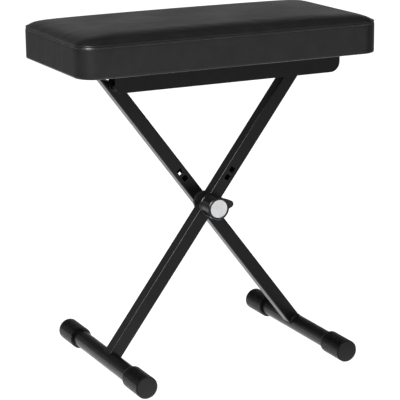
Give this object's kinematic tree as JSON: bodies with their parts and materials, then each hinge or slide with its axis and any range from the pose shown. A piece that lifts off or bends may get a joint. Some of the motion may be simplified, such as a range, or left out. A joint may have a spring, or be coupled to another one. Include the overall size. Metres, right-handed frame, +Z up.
{
  "type": "folding x-frame keyboard bench",
  "caption": "Folding X-frame keyboard bench: padded black seat on a steel channel, crossed square-tube legs, ribbed rubber feet and a quick-release pivot lock.",
  "frame": {"origin": "on the floor under the centre of the whole object's footprint", "axes": "+X along the seat, -Y towards the side that carries the lock, +Z up"},
  "size_m": [0.5876, 0.364, 0.6403],
  "materials": {
    "vinyl": "smooth semi-gloss black vinyl",
    "powder_coat": "satin black powder coat",
    "rubber": "matt ribbed rubber",
    "black_plastic": "satin moulded black",
    "nylon": "natural nylon",
    "zinc": "zinc plated",
    "black_steel": "black-finished steel fastener",
    "foam": "open-cell foam",
    "plywood": "raw plywood",
    "dust_cloth": "black non-woven cloth",
    "label": "light grey"
  },
  "bodies": {
    "seat": {"foam_pad": "foam", "seat_board": "plywood", "cover_top": "vinyl", "cover_band": "vinyl", "seam_piping": "vinyl", "dust_cover": "dust_cloth", "cross_strap_left": "powder_coat", "cross_strap_right": "powder_coat", "seat_channel": "powder_coat", "tee_nut_1": "zinc", "tee_nut_2": "zinc", "tee_nut_3": "zinc", "tee_nut_4": "zinc", "seat_screw_1": "zinc", "seat_screw_2": "zinc", "seat_screw_3": "zinc", "seat_screw_4": "zinc", "seat_pivot_bolt": "black_steel", "seat_pivot_spacer": "black_plastic", "seat_pivot_washer": "black_steel", "seat_pivot_nut": "black_steel"},
    "back_leg": {"back_leg": "powder_coat", "back_leg_plug": "black_plastic", "index_disc": "black_steel", "pivot_washer": "black_steel", "pivot_nut": "black_steel", "foot_tube_right": "powder_coat", "foot_cap_right_front": "rubber", "foot_cap_right_rear": "rubber"},
    "front_leg": {"front_leg": "powder_coat", "front_leg_plug": "black_plastic", "front_disc": "black_steel", "pivot_bolt": "zinc", "lock_housing": "black_plastic", "roller_axle": "zinc", "roller_clip": "zinc", "foot_tube_left": "powder_coat", "foot_cap_left_front": "rubber", "foot_cap_left_rear": "rubber"},
    "rail_roller": {"rail_roller": "nylon"},
    "release_lever": {"release_lever": "black_plastic", "lever_label": "label", "lever_screw": "zinc"},
    "lock_plunger": {"lock_plunger": "zinc", "plunger_spring": "zinc"}
  },
  "joints": [
    {"name": "back_leg_swing", "type": "hinge", "parent": "seat", "child": "back_leg", "pos_m": [-0.17134, 0, 0.52306], "axis": [0, 1, 0], "range_deg": [-12, 34]},
    {"name": "leg_spread", "type": "hinge", "parent": "back_leg", "child": "front_leg", "pos_m": [0.0023, 0, 0.29179], "axis": [0, 1, 0], "range_deg": [-66, 22.6]},
    {"name": "release_lever", "type": "hinge", "parent": "front_leg", "child": "release_lever", "pos_m": [0.0023, 0, 0.29179], "axis": [0, 1, 0], "range_deg": [0, 30], "stiffness_Nm_per_rad": 0.4},
    {"name": "lock_plunger", "type": "slide", "parent": "front_leg", "child": "lock_plunger", "axis": [0, -1, 0], "range_m": [0, 0.0051]},
    {"name": "roller_spin", "type": "hinge", "parent": "front_leg", "child": "rail_roller", "pos_m": [0.17594, 0, 0.52306], "axis": [0, 1, 0], "continuous": true}
  ],
  "couplings": [
    {"joint": "back_leg_swing", "follows": "leg_spread", "ratio": -0.5},
    {"joint": "lock_plunger", "follows": "release_lever", "m_per_rad": 0.00955}
  ]
}
